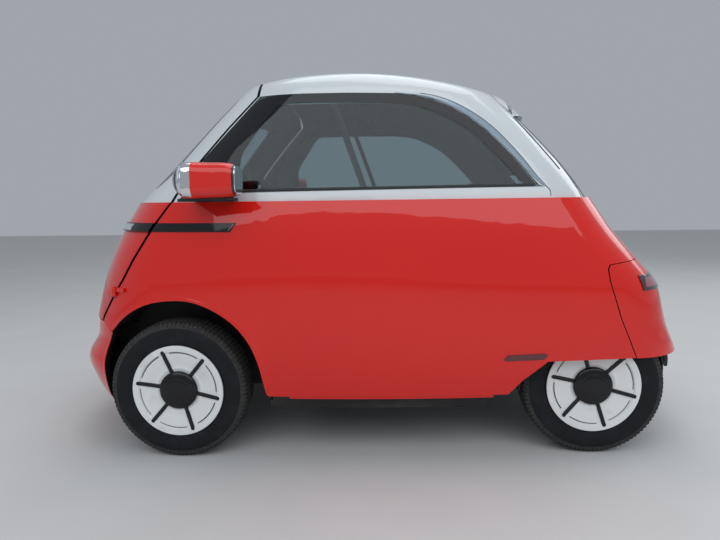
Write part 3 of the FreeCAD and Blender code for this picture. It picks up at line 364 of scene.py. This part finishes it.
def on_panel(grid, target, way="y"):
    """Places on a panel of a grid of points that give two coordinates: a shrinkwrap finds the third.

    Points of x and z go on to its left side along Y, those of y and z on to its front along X, and those
    of x and y down on to it. All start clear of the car."""
    clear_of_car = {"x": -1.6, "y": -1.0, "z": 1.8}[way]
    start = np.insert(grid, "xyz".index(way), clear_of_car, axis=-1)
    probe = skin(target + "_probe", start, white_paint)
    probe.modifiers.clear()
    wrap = probe.modifiers.new("on_panel", "SHRINKWRAP")
    wrap.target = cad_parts[target]
    wrap.wrap_method = "PROJECT"
    wrap.use_project_x, wrap.use_project_y, wrap.use_project_z = way == "x", way == "y", way == "z"
    wrap.use_positive_direction, wrap.use_negative_direction = way != "z", way == "z"
    bpy.context.view_layer.update()
    settled = probe.evaluated_get(bpy.context.evaluated_depsgraph_get()).data
    places = np.empty(len(settled.vertices) * 3)
    settled.vertices.foreach_get("co", places)
    bpy.data.objects.remove(probe)
    return places.reshape(start.shape)


def both_sides(name, places, finish):
    """Makes a left piece from a grid of places, and on the right its mirror image, with its faces turned."""
    for label, side in (("left", -1), ("right", 1)):
        skin(f"{name}_{label}", places * (1, -side, 1), finish, flip=side > 0)


def laid(name, grid, target, lift, finish):
    """Lays a grid of (x, z) points on both sides of a panel, lifted off it by the given metres."""
    places = on_panel(grid, target)
    places[..., 1] -= lift
    both_sides(name, places, finish)


def cut_corners(points):
    """A smooth path: three times over, every corner is cut a quarter of the way along its two runs."""
    path = np.array(points, float)
    for number in range(3):
        cut = np.stack([0.75 * path[:-1] + 0.25 * path[1:], 0.25 * path[:-1] + 0.75 * path[1:]], 1)
        path = np.vstack([path[:1], cut.reshape(-1, 2), path[-1:]])
    return path


def between(pairs, steps):
    """A grid from the second to the first of two paths, given as rows of (x, z, x, z) in millimetres.

    It has a row for each place along them and so many steps from one to the other, in even shares."""
    pairs = np.array(pairs, float) / 1000
    far, near = cut_corners(pairs[:, :2]), cut_corners(pairs[:, 2:])
    share = np.linspace(0, 1, steps)[None, :, None]
    return near[:, None] * (1 - share) + far[:, None] * share


def square_to(path):
    """Unit vectors square to a path: each step's two coordinates, swapped and the first of them negated."""
    way = np.gradient(path, axis=0)
    return np.stack([-way[:, 1], way[:, 0]], -1) / np.linalg.norm(way, axis=1, keepdims=True)


def ribbon(points, width, steps=4):
    """A grid that spreads a smooth path of points in millimetres, half its width in metres to each side."""
    path = cut_corners(np.array(points, float) / 1000)
    return path[:, None] + square_to(path)[:, None] * (np.linspace(-0.5, 0.5, steps) * width)[None, :, None]


# Wheel arches: the panel's edge is rolled inwards round the front wheels, which shows as a smooth
# lip. Its shape at the edge comes from two lines of places on the panel, 10 and 20 mm out.
ARCH_EDGES = {
    "arch_lip": ("side_panel_left", ((-989, 486), (-924, 550), (-831, 602), (-714, 620), (-620, 613),
                                     (-503, 556), (-431, 477), (-397, 391), (-376, 280))),
    "bumper_lip": ("front_bumper", ((-1037, 205), (-1033, 339), (-1023, 407), (-1000, 464)))}
# The lip's section: how far out from the edge, and how far inside the panel, or outside where negative
LIP = ((0.0, 0.012), (0.0, -0.0008), (0.002, -0.0020), (0.006, -0.0018), (0.010, -0.0009), (0.013, 0.0))
lip_out, lip_depth = np.array(LIP).T
first_line, line_gap = 0.010, 0.010
for name, (panel, outline) in ARCH_EDGES.items():
    edge = cut_corners(np.array(outline, float) / 1000)
    outward = square_to(edge)
    lines = [edge + first_line * outward, edge + (first_line + line_gap) * outward]
    known = on_panel(np.stack(lines, 1), panel)[..., 1]
    flat = edge[:, None] + outward[:, None] * lip_out[:, None]
    # Depth: the line through the two known places, carried back to the edge, plus the section's own
    side_place = known[:, :1] + (known[:, 1:] - known[:, :1]) * (lip_out - first_line) / line_gap + lip_depth
    both_sides(name, np.stack([flat[..., 0], side_place, flat[..., 1]], -1), red_paint)

# Side windows: laminated panes with a wide black border printed round them, which hides the glue.
# The lower front corner is all black, and a thin rubber seal runs along the white rail.
tinted_glass = Finish("tinted_safety_glass", Base_Color=(0.42, 0.53, 0.55), Roughness=0.01, IOR=1.42,
                      Transmission_Weight=1.0, Specular_IOR_Level=0.6)
dress(tinted_glass, "side_windows", "windscreen")
black_glass = Finish("black_printed_glass", Roughness=0.05, Specular_IOR_Level=0.4)
printed = black_glass.mix(black_glass.noise(3), (0.006, 0.007, 0.008), (0.012, 0.013, 0.015))
black_glass.feed(Base_Color=printed)
dress(black_glass, "rear_window", "lamp_strip", "side_strips")
seal_rubber = Finish("window_seal_rubber", Roughness=0.55)
weathered = seal_rubber.mix(seal_rubber.noise(40), (0.010, 0.010, 0.010), (0.022, 0.022, 0.022))
seal_rubber.feed(Base_Color=weathered)
# Each row has a place on the border's outer edge, then the one across from it on the inner edge
WINDOW = ((-692, 1013, -454, 1014), (-640, 1089, -456, 1140), (-608, 1132, -434, 1175),
          (-508, 1243, -374, 1262), (-420, 1338, -330, 1322), (-380, 1364, -300, 1331),
          (-237, 1364, -237, 1334), (-57, 1364, -57, 1331), (106, 1361, 105, 1327), (182, 1352, 178, 1318),
          (240, 1339, 232, 1303), (305, 1312, 291, 1277), (370, 1275, 350, 1244), (434, 1225, 408, 1199),
          (484, 1176, 454, 1153), (541, 1116, 506, 1098), (588, 1056, 548, 1050), (616, 1024, 577, 1022))
laid("window_border", between(WINDOW, 8), "side_windows", 0.0004, black_glass)
SILL = ((-686, 1015), (-300, 1018), (200, 1022), (606, 1025))
seal_lift = np.array([0.0002, 0.0016, 0.0016, 0.0002])
laid("window_sill_seal", ribbon(SILL, 0.009), "side_windows", seal_lift, seal_rubber)
dress(seal_rubber, "window_bars")

# Rear pillar: a bright bevel runs over the window's curved edge, and a fine shut line follows it down
# to the waist, where the white side piece meets the rear one.
bevel_white = Finish("polished_bevel_paint", Roughness=0.22, Coat_Weight=1.0, Coat_Roughness=0.02)
bevel_white.feed(Base_Color=bevel_white.mix(bevel_white.noise(3), (0.24, 0.32, 0.39), (0.30, 0.38, 0.45)))
BEVEL = ((118, 1367, 106, 1365.5), (200, 1364, 184, 1356.5), (270, 1352, 243, 1343.5),
         (342, 1322, 308, 1316.5), (408, 1283, 373, 1279.5), (472, 1231, 437, 1229.5), (520, 1180, 488, 1180),
         (572, 1120, 545, 1120), (614, 1063, 595, 1062), (643, 1031, 632, 1029), (649, 1023, 646, 1021))
bevel_lift = np.array([0.0006, 0.0042, 0.0040, 0.0030, 0.0020, 0.0010, 0.0003])
laid("window_bevel", between(BEVEL, 7), "roof_shell", bevel_lift, bevel_white)
SHUT = [(x, z) for x, z, inner_x, inner_z in BEVEL[1:-1]]
SHUT += [(655, 1017), (664, 1010), (669, 1000), (669, 984)]
laid("pillar_shut_line", ribbon(SHUT, 0.0028), "roof_shell", 0.0006, seal_rubber)

# Tail: a dark gap parts the roof from the spoiler's end, and a broader black seal runs down the edge of
# the rear glass.
TAIL_LINES = {"spoiler_shut_line": (((478, 1374), (518, 1334), (545, 1304)), 0.004),
              "rear_glass_edge": (((557, 1284), (616, 1210), (669, 1146), (720, 1083)), 0.007)}
for name, (line, width) in TAIL_LINES.items():
    laid(name, ribbon(line, width), "roof_shell", 0.0008, seal_rubber)

# Roof lip: a white moulding bonded over the end of the roof. It rises from the roof to a rounded edge
# above the tailgate's hinges and drops steeply behind it, and its ends sink into the roof's shoulders.
# The section is in millimetres along the car and above the roof.
LIP_SECTION = ((478, 0), (486, 3), (500, 8), (514, 13.5), (526, 18), (534, 20.5), (539, 21.5), (542, 21),
               (544, 19), (544.5, 15), (544.5, 6))
lip_along, lip_height = np.array(LIP_SECTION).T / 1000
lip_half, sunk, extra_rise = 0.432, 0.003, 0.45
lip_side = lip_half * np.sin(np.linspace(-math.pi / 2, math.pi / 2, 97))
roof_top = on_panel(np.stack(np.broadcast_arrays(lip_along, lip_side[:, None]), -1), "roof_shell", way="z")
# Height: the section's, 45% more in the middle, times a fall at the ends, all from 3 mm inside the roof
share = np.abs(lip_side / lip_half)[:, None]
lip_rise = (lip_height * (1 + extra_rise * (1 - share ** 2)) + sunk) * (1 - share ** 10) ** 0.5
under = roof_top - (0, 0, sunk)
upper = under + lip_rise[..., None] * np.array([0, 0, 1])
skin("roof_end_lip", np.concatenate([upper, under[:, ::-1]], 1), white_trim,
     wrap_columns=True, flip=True)

# Windscreen: one curved pane of the same glass, glued into the front door's frame. Its printed black
# border is given from the middle of its foot round the right half, and mirrored to the left.
SCREEN = ((0, 1034, 0, 1082), (400, 1034, 370, 1082), (456, 1034, 420, 1082), (484, 1044, 448, 1090),
          (498, 1066, 456, 1106), (499, 1094, 452, 1130), (438, 1332, 396, 1310), (430, 1356, 388, 1332),
          (414, 1372, 372, 1344), (390, 1380, 350, 1348), (300, 1381, 280, 1350), (0, 1381, 0, 1350))
mirror_screen = [(-y, z, -inner_y, inner_z) for y, z, inner_y, inner_z in SCREEN[-2::-1]]
screen_border = on_panel(between(SCREEN + tuple(mirror_screen), 8), "windscreen", way="x")
skin("windscreen_border", screen_border - (0.0004, 0, 0), black_glass, "front_door")

# Lamps: each shoulder pod holds a lamp behind a domed clear lens, with a chromed bowl and rim, and
# looks back with a mirror. A slim daylight lens lies in the nose strip, and the rear lamps are red.
pod_paint = Finish("pod_paint_chrome_and_painted_shade", Specular_IOR_Level=0.2, Coat_Roughness=0.02)
# A pod's shell is chromed round the lens and red behind that, and its rear edge round the mirror is painted
# black as shade
band = pod_paint.axis("x") < -0.569
# Painted shade: behind this place along the car, the shell round the mirror is black
painted_shade_rim = pod_paint.axis("x") > -0.4315
pod_red = pod_paint.mix(pod_paint.noise(2.2), *RED)
pod_colour = pod_paint.mix(painted_shade_rim, pod_red, (0.01, 0.01, 0.01))
pod_paint.feed(Base_Color=pod_paint.mix(band, pod_colour, (0.78, 0.79, 0.80)), Metallic=band,
               Coat_Weight=1 - band, Roughness=0.34 - 0.26 * band)
dress(pod_paint, "pod_shells")
lens_glass = Finish("clear_lamp_lens", Base_Color=(0.95, 0.97, 0.98), Roughness=0.02, IOR=1.4,
                    Transmission_Weight=1.0)
dress(lens_glass, "pod_lenses")
chrome = Finish("lamp_chrome", Metallic=1.0)
chrome.feed(Base_Color=chrome.mix(chrome.noise(20), (0.80, 0.81, 0.83), (0.88, 0.89, 0.90)),
            Roughness=0.08 + 0.06 * chrome.noise(60))
dress(chrome, "pod_mirrors")
pod_side, pod_height = 0.800, 1.051
bowl_middle, bowl_depth, bowl_wide, bowl_high = 0.6022, 0.0105, 0.061, 0.058
rim_place, rim_wide, rim_high, rim_half = 0.6030, 0.0615, 0.0585, 0.0025
lens_base, lens_depth, lens_wide, lens_high = 0.6015, 0.0425, 0.0590, 0.0560
sweep = (np.arange(96) / 96 * math.tau)[:, None]


def round_lamp(side, forward, wide, high):
    """Points so far forward round a pod's axis: wide times the sweep's cosine, high times its sine."""
    places = (-forward, side * pod_side + wide * np.cos(sweep), pod_height + high * np.sin(sweep))
    return np.stack(np.broadcast_arrays(*places), -1)


for label, side in (("left", -1), ("right", 1)):
    # Bowl: depth rises with the square of the share of the lens's ellipse, with 24 shallow flutes
    share = np.linspace(0.0, 0.96, 20)
    flutes = 0.0006 * np.sin(sweep * 24) * (share > 0.35)
    deep = bowl_middle + bowl_depth * share ** 2 + flutes
    bowl = round_lamp(side, deep, bowl_wide * share, bowl_high * share)
    skin(f"lamp_bowl_{label}", bowl, chrome, wrap_rows=True)
    # Rim: a 5 mm round bead carried along the ellipse
    bead = np.linspace(0, math.tau, 13)[:-1]
    rim_out = rim_half * np.cos(bead)
    rim = round_lamp(side, rim_place - rim_half * np.sin(bead), rim_wide + rim_out, rim_high + rim_out)
    skin(f"lamp_rim_{label}", rim, chrome, wrap_rows=True, wrap_columns=True)
    # Collar: the lens's dome is silvered on the inside, from its base through 0.42 of a radian
    rise = np.linspace(0.02, 0.42, 9)
    forward = lens_base + lens_depth * np.sin(rise)
    collar = round_lamp(side, forward, lens_wide * np.cos(rise), lens_high * np.cos(rise))
    skin(f"lamp_collar_{label}", collar, chrome, wrap_rows=True, flip=True)
daylight = Finish("daylight_lens", Roughness=0.12, Coat_Weight=1.0, Metallic=0.4)
daylight.feed(Base_Color=daylight.mix(daylight.noise(90), (0.45, 0.50, 0.54), (0.70, 0.75, 0.78)))
# Each part's places across the car in millimetres, its width, its lift off the strip and its finish
DAYLIGHT = {"surround": ((208, 300, 400, 500, 572), 0.024, 0.0, chrome),
            "lens": ((214, 300, 400, 500, 566), 0.015, 0.0006, daylight)}
daylight_height = 886
crowned = np.array([0.0003, 0.0014, 0.0018, 0.0014, 0.0003])
for label, side in (("left", -1), ("right", 1)):
    for name, (across, width, lift, finish) in DAYLIGHT.items():
        strip = ribbon([(y * side, daylight_height) for y in across], width, 5)
        places = on_panel(strip, "lamp_strip", way="x")
        places[..., 0] -= crowned + lift
        skin(f"daylight_{name}_{label}", places, finish, "front_door", flip=True)
red_lens = Finish("red_lamp_lens", Roughness=0.08, Coat_Weight=1.0)
height = red_lens.axis("z")
# The red part has a black surround, 11 mm wide above and below it and 30 mm at its ends
lit = (height > 0.6470) * (height < 0.6790) * (red_lens.axis("x") > 1.026)
lamp_red = red_lens.mix(red_lens.noise(45), (0.26, 0.030, 0.060), (0.42, 0.13, 0.18))
red_lens.feed(Base_Color=red_lens.mix(lit, (0.010, 0.010, 0.011), lamp_red))
dress(red_lens, "rear_lamps")
reflector_red = Finish("side_reflector_red", Roughness=0.2, Coat_Weight=0.8)
cells = reflector_red.node("TexVoronoi", None, {"Vector": reflector_red.place, "Scale": 260.0}, "Distance")
reflector_red.feed(Base_Color=reflector_red.mix(cells, (0.16, 0.010, 0.010), (0.05, 0.004, 0.004)))
dress(reflector_red, "side_reflectors")

# Side strip: a gloss black band that carries the nose strip's line round on to the side. A fine pale
# line runs along its slanting rear end.
STRIP_END = ((-472, 899), (-478, 890), (-492, 875))
strip_mark = Finish("pale_strip_outline", Roughness=0.3)
strip_mark.feed(Base_Color=strip_mark.mix(strip_mark.noise(20), (0.20, 0.21, 0.22), (0.26, 0.27, 0.28)))
laid("strip_end_outline", ribbon(STRIP_END, 0.0022), "side_strips", 0.0006, strip_mark)

# Black trim: moulded plastic with a fine grain. It makes the arch liners, the pod feet, the rear
# valance, the door's inner bar and the steering column.
grained_black = Finish("grained_black_plastic", Roughness=0.6)
moulded = grained_black.mix(grained_black.noise(30, 4), (0.012, 0.012, 0.013), (0.024, 0.024, 0.025))
grained_black.feed(Base_Color=moulded)
grained_black.rough(grained_black.noise(1100, 2), 0.0003, 0.6)
dress(grained_black, "front_arch_liners", "rear_arch_liners", "pod_feet", "door_bar", "bench_base",
      "rear_valance", "steering_column", "steering_wheel")

# Pod pads: each pod's foot stands on a thin pad of the same plastic, which is fixed to the white rail
# under the front corner of the side window.
POD_PAD = ((-676, 1003, -700, 979.5), (-600, 1004, -620, 979.5), (-500, 1000, -510, 979.5),
           (-476, 998, -474, 979.5))
pad_lift = np.array([0.0005, 0.003, 0.003, 0.003, 0.003, 0.0005])
laid("pod_foot_pad", between(POD_PAD, 6), "roof_shell", pad_lift, grained_black)

# Seat: a bench cushion and a back in black woven cloth over foam. Each is swollen by a cloth
# simulation and then creased along its sewn channels and the seam between the two places.
seat_cloth = Finish("black_seat_cloth", Roughness=0.92, Sheen_Weight=0.3)
threads = {"Vector": seat_cloth.place, "Scale": 420.0, "Distortion": 0.4}
warp = seat_cloth.node("TexWave", {"bands_direction": "Y"}, threads, "Fac")
weft = seat_cloth.node("TexWave", {"bands_direction": "X"}, threads, "Fac")
weave = warp * weft
wear = weave * 0.6 + 0.4 * seat_cloth.noise(12, 4)
seat_cloth.feed(Base_Color=seat_cloth.mix(wear, (0.014, 0.014, 0.016), (0.055, 0.056, 0.060)))
seat_cloth.rough(weave, 0.0006, 0.7)


def read_points(mesh):
    """The mesh's vertices as rows of x, y and z."""
    places = np.empty(len(mesh.vertices) * 3)
    mesh.vertices.foreach_get("co", places)
    return places.reshape(-1, 3)


def write_points(mesh, places):
    """Moves the mesh's vertices to rows of x, y and z."""
    mesh.vertices.foreach_set("co", places.ravel())
    mesh.update()


def settled_mesh(piece):
    """The piece's mesh with its modifiers applied, as a mesh of its own."""
    bpy.context.view_layer.update()
    return bpy.data.meshes.new_from_object(piece.evaluated_get(bpy.context.evaluated_depsgraph_get()))


# A box's corners as signs, and its sides as four corners each
CORNER_SIGNS = np.array([[x, y, z] for x in (-1, 1) for y in (-1, 1) for z in (-1, 1)])
BOX_SIDES = [(0, 1, 3, 2), (4, 6, 7, 5), (0, 4, 5, 1), (2, 3, 7, 6), (0, 2, 6, 4), (1, 5, 7, 3)]
cloth_frames, most_swell, seam_spread = 20, 0.014, 0.007


def stuffed(name, size, middle, lean, channels, node):
    """A sewn pad. Its own axes are along its depth, its width and its thickness; lean turns it about Y.

    A rounded box is swollen by pressure from inside, by 14 mm at most, and its upper face is creased."""
    half = np.array(size) / 2
    mesh = bpy.data.meshes.new(name)
    mesh.from_pydata((CORNER_SIGNS * half).tolist(), [], BOX_SIDES)
    piece = bpy.data.objects.new(name, mesh)
    bpy.context.scene.collection.objects.link(piece)
    corner = piece.modifiers.new("corner", "BEVEL")
    corner.width, corner.segments = 0.030, 4
    weave_grid = piece.modifiers.new("grid", "REMESH")
    weave_grid.mode, weave_grid.voxel_size = "VOXEL", 0.0095
    piece.data = settled_mesh(piece)
    piece.modifiers.clear()
    flat = read_points(piece.data)
    cloth = piece.modifiers.new("cloth", "CLOTH")
    cloth.settings.use_pressure = True
    cloth.settings.uniform_pressure_force = 4
    cloth.settings.effector_weights.gravity = 0
    for number in range(1, cloth_frames + 1):
        bpy.context.scene.frame_set(number)
    swollen = read_points(settled_mesh(piece)) - flat
    far = np.linalg.norm(swollen, axis=1, keepdims=True)
    write_points(piece.data, flat + swollen * np.minimum(1, most_swell / np.maximum(far, 1e-6)))
    piece.modifiers.clear()
    bpy.context.scene.frame_set(1)
    finer = piece.modifiers.new("finer", "SUBSURF")
    finer.levels = finer.render_levels = 1
    piece.data = settled_mesh(piece)
    piece.modifiers.clear()
    places = read_points(piece.data)
    # Crease: each seam pulls the upper face in by its depth times a bell curve of the distance from it
    upper = np.clip(places[:, 2] / half[2], 0, 1) ** 2
    crease = sum(deep * np.exp(-((places[:, axis] - at) / seam_spread) ** 2) for axis, at, deep in channels)
    places[:, 2] -= upper * crease
    leaning = np.array([[math.cos(lean), 0, math.sin(lean)], [0, 1, 0], [-math.sin(lean), 0, math.cos(lean)]])
    write_points(piece.data, places @ leaning + np.array(middle))
    piece.data.shade_smooth()
    piece.data.materials.clear()
    piece.data.materials.append(seat_cloth.material)
    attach(piece, "body")
    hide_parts(node)


# Seams: the axis they are measured along, their place on it and their depth. The first parts the seats
SEAMS_ALONG = [(1, 0.0, 0.018), (1, -0.42, 0.008), (1, 0.42, 0.008)]
CUSHION_SEAMS = SEAMS_ALONG + [(0, -0.09, 0.007), (0, 0.06, 0.007)]
BACK_SEAMS = SEAMS_ALONG + [(0, -0.12, 0.007), (0, 0.04, 0.007), (0, 0.19, 0.007)]
stuffed("bench_cushion", (0.396, 1.018, 0.088), (-0.177, 0, 0.489), 0.0, CUSHION_SEAMS, "seat_cushion")
stuffed("bench_back", (0.576, 1.018, 0.064), (0.1064, 0, 0.7461), math.radians(83), BACK_SEAMS, "seat_back")

# Studio: a broad pale floor under a plain sky. One long lamp stands over the car's left side, and two
# weaker ones over the roof and behind the tail.
floor_half = 14.0
floor_corners = [(x * floor_half, y * floor_half, 0) for x, y in ((-1, -1), (1, -1), (1, 1), (-1, 1))]
floor_mesh = bpy.data.meshes.new("floor")
floor_mesh.from_pydata(floor_corners, [], [(0, 1, 2, 3)])
floor = bpy.data.objects.new("floor", floor_mesh)
bpy.context.scene.collection.objects.link(floor)
floor_finish = Finish("pale_floor", Roughness=0.8)
pale = floor_finish.mix(floor_finish.noise(3, 4), (0.60, 0.60, 0.59), (0.66, 0.66, 0.65))
floor_finish.feed(Base_Color=pale)
floor_mesh.materials.append(floor_finish.material)

world = bpy.context.scene.world or bpy.data.worlds.new("studio")
bpy.context.scene.world = world
world.use_nodes = True
sky = world.node_tree.nodes["Background"]
sky.inputs["Color"].default_value = (0.78, 0.84, 0.92, 1)
sky.inputs["Strength"].default_value = 0.45

# Each lamp's place, its width and height, and its power in watts
LAMPS = {"key_lamp": ((0.6, -5.6, 4.9), (12.0, 4.5), 245),
         "top_lamp": ((0.5, 0.5, 5.5), (5.0, 4.0), 105),
         "back_lamp": ((5.0, 3.0, 3.5), (3.0, 3.0), 42)}
lamp_aim = np.array([0, 0, 0.6])
for name, (place, (width, height), power) in LAMPS.items():
    lamp = bpy.data.lights.new(name, "AREA")
    lamp.shape = "RECTANGLE"
    lamp.size, lamp.size_y, lamp.energy = width, height, power
    lamp.color = (0.93, 0.97, 1.0)
    holder = bpy.data.objects.new(name, lamp)
    bpy.context.scene.collection.objects.link(holder)
    holder.location = place
    holder.rotation_euler = Vector(lamp_aim - place).to_track_quat("-Z", "Y").to_euler()

# Camera: it stands on the car's left, a little behind its middle and just below the window sills, and
# looks slightly down. Its place and angles, in radians, were fitted to the photograph.
camera_place = np.array([0.1106, -2.7913, 0.9848])
yaw, pitch, roll = -0.0623, 0.1213, 0.0131
ahead = np.array([math.sin(yaw) * math.cos(pitch), math.cos(yaw) * math.cos(pitch), -math.sin(pitch)])
level = np.array([math.cos(yaw), -math.sin(yaw), 0.0])
down = np.cross(ahead, level)
right = level * math.cos(roll) + down * math.sin(roll)
lower = down * math.cos(roll) - level * math.sin(roll)
lens = bpy.data.cameras.new("camera")
lens.sensor_width = 36.0
lens.lens = 29.49
camera = bpy.data.objects.new("camera", lens)
bpy.context.scene.collection.objects.link(camera)
camera.matrix_world = Matrix([*np.array([right, -lower, -ahead, camera_place]).T, (0, 0, 0, 1)])
bpy.context.scene.camera = camera
bpy.context.scene.view_settings.view_transform = "Standard"
